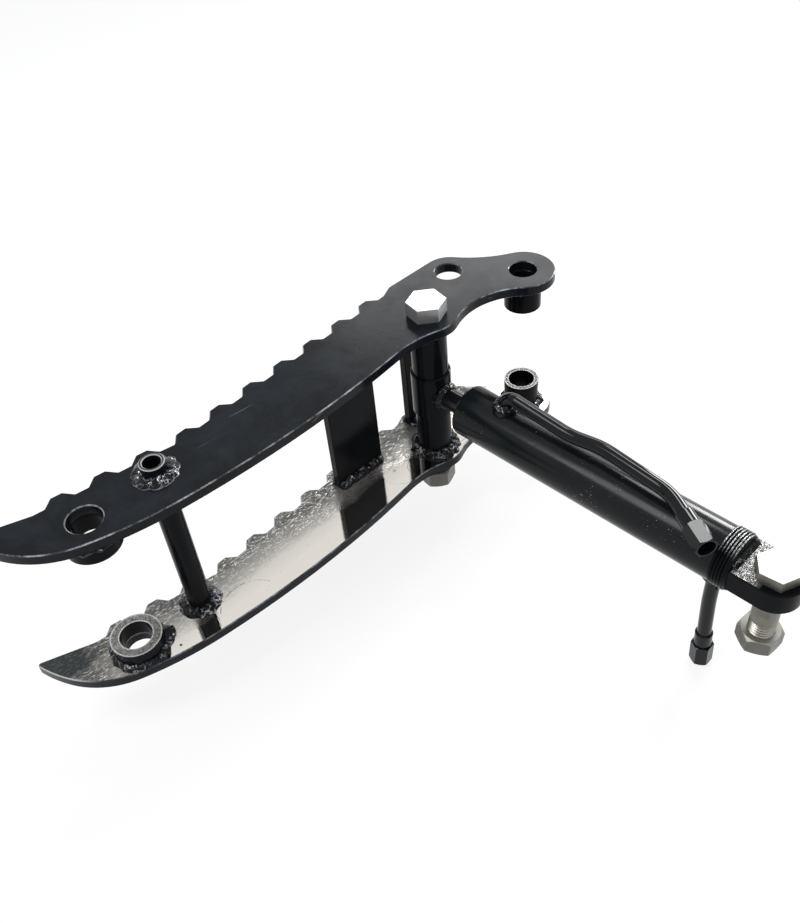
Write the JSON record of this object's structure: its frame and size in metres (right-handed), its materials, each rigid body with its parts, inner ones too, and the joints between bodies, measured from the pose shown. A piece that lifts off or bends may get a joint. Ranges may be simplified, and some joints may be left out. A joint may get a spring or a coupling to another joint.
{
  "type": "excavator thumb",
  "caption": "Hydraulic thumb for a mini excavator: two serrated claw plates welded side by side, with the cylinder that moves them pinned between the plates.",
  "frame": {"origin": "middle of the rear pivot bore, half way between the two side plates", "axes": "+Z along the pins, towards the head of the rod bolt; -X towards the claw's tip; +Y towards the toothed jaw edge"},
  "size_m": [0.5567, 0.4374, 0.2422],
  "materials": {
    "black_paint": "glossy black paint over rolled steel",
    "weld_paint": "glossy black paint over a lumpy weld",
    "cylinder_paint": "glossy black",
    "rod_chrome": "polished hard chrome",
    "turned_steel": "turned",
    "bright_zinc": "bright zinc plate",
    "warm_zinc": "worn zinc plate",
    "seal_rubber": "smooth",
    "wear_plastic": "smooth"
  },
  "bodies": {
    "thumb_frame": {"side_plate_upper": "black_paint", "side_plate_lower": "black_paint", "cross_tube": "black_paint", "cross_plate": "black_paint", "rear_cross_plate": "black_paint", "rear_bush_upper": "black_paint", "rear_bush_lower": "black_paint", "tip_ring_upper": "black_paint", "tip_ring_lower": "black_paint", "pivot_boss_upper": "black_paint", "pivot_boss_lower": "black_paint", "cross_tube_welds": "weld_paint", "cross_plate_welds": "weld_paint", "round_welds": "weld_paint"},
    "rod": {"rod_eye": "black_paint", "rod_eye_weld": "weld_paint", "piston_rod": "rod_chrome", "piston": "turned_steel", "piston_seal": "seal_rubber", "piston_wear_ring": "wear_plastic", "piston_nut": "turned_steel"},
    "cylinder": {"barrel": "cylinder_paint", "gland": "cylinder_paint", "rod_wiper": "seal_rubber", "rod_seal": "seal_rubber", "gland_ring": "seal_rubber", "end_cap": "cylinder_paint", "cap_weld": "weld_paint", "base_lug": "cylinder_paint", "lug_welds": "weld_paint", "rod_port_boss": "cylinder_paint", "base_port_boss": "cylinder_paint", "rod_port_weld": "weld_paint", "base_port_weld": "weld_paint", "rod_port_pipe": "cylinder_paint", "base_port_pipe": "cylinder_paint", "rod_port_nipple": "cylinder_paint", "base_port_nipple": "cylinder_paint"},
    "eye_bolt": {"rod_bolt": "bright_zinc"},
    "eye_bolt_nut": {"rod_bolt_nut": "bright_zinc"},
    "lug_bolt": {"base_bolt": "warm_zinc"},
    "lug_bolt_nut": {"base_bolt_nut": "warm_zinc"},
    "rod_port_swivel": {"rod_port_nut": "cylinder_paint"},
    "base_port_swivel": {"base_port_nut": "cylinder_paint"}
  },
  "joints": [
    {"name": "rod_eye_pivot", "type": "hinge", "parent": "thumb_frame", "child": "rod", "pos_m": [-0.1082, 0.0115, 0], "axis": [0, 0, 1], "range_deg": [-60, 58]},
    {"name": "cylinder_stroke", "type": "slide", "parent": "rod", "child": "cylinder", "axis": [0.1054, -0.9944, 0], "range_m": [0, 0.162]},
    {"name": "eye_bolt_turn", "type": "hinge", "parent": "thumb_frame", "child": "eye_bolt", "pos_m": [-0.1082, 0.0115, 0], "axis": [0, 0, 1], "continuous": true},
    {"name": "eye_bolt_nut_travel", "type": "slide", "parent": "eye_bolt", "child": "eye_bolt_nut", "axis": [0, 0, 1], "range_m": [0, 0.017]},
    {"name": "lug_bolt_turn", "type": "hinge", "parent": "cylinder", "child": "lug_bolt", "pos_m": [-0.07064, -0.34292, -0.0026], "axis": [0, 0, 1], "continuous": true},
    {"name": "lug_bolt_nut_travel", "type": "slide", "parent": "lug_bolt", "child": "lug_bolt_nut", "axis": [0, 0, 1], "range_m": [0, 0.0455]},
    {"name": "rod_port_swivel_turn", "type": "hinge", "parent": "cylinder", "child": "rod_port_swivel", "pos_m": [-0.0946, -0.27054, 0.0347], "axis": [-0.4219, -0.9065, 0.0133], "continuous": true},
    {"name": "base_port_swivel_turn", "type": "hinge", "parent": "cylinder", "child": "base_port_swivel", "pos_m": [-0.0753, -0.29896, -0.1057], "axis": [0.0056, -0.0532, -0.9986], "continuous": true}
  ]
}
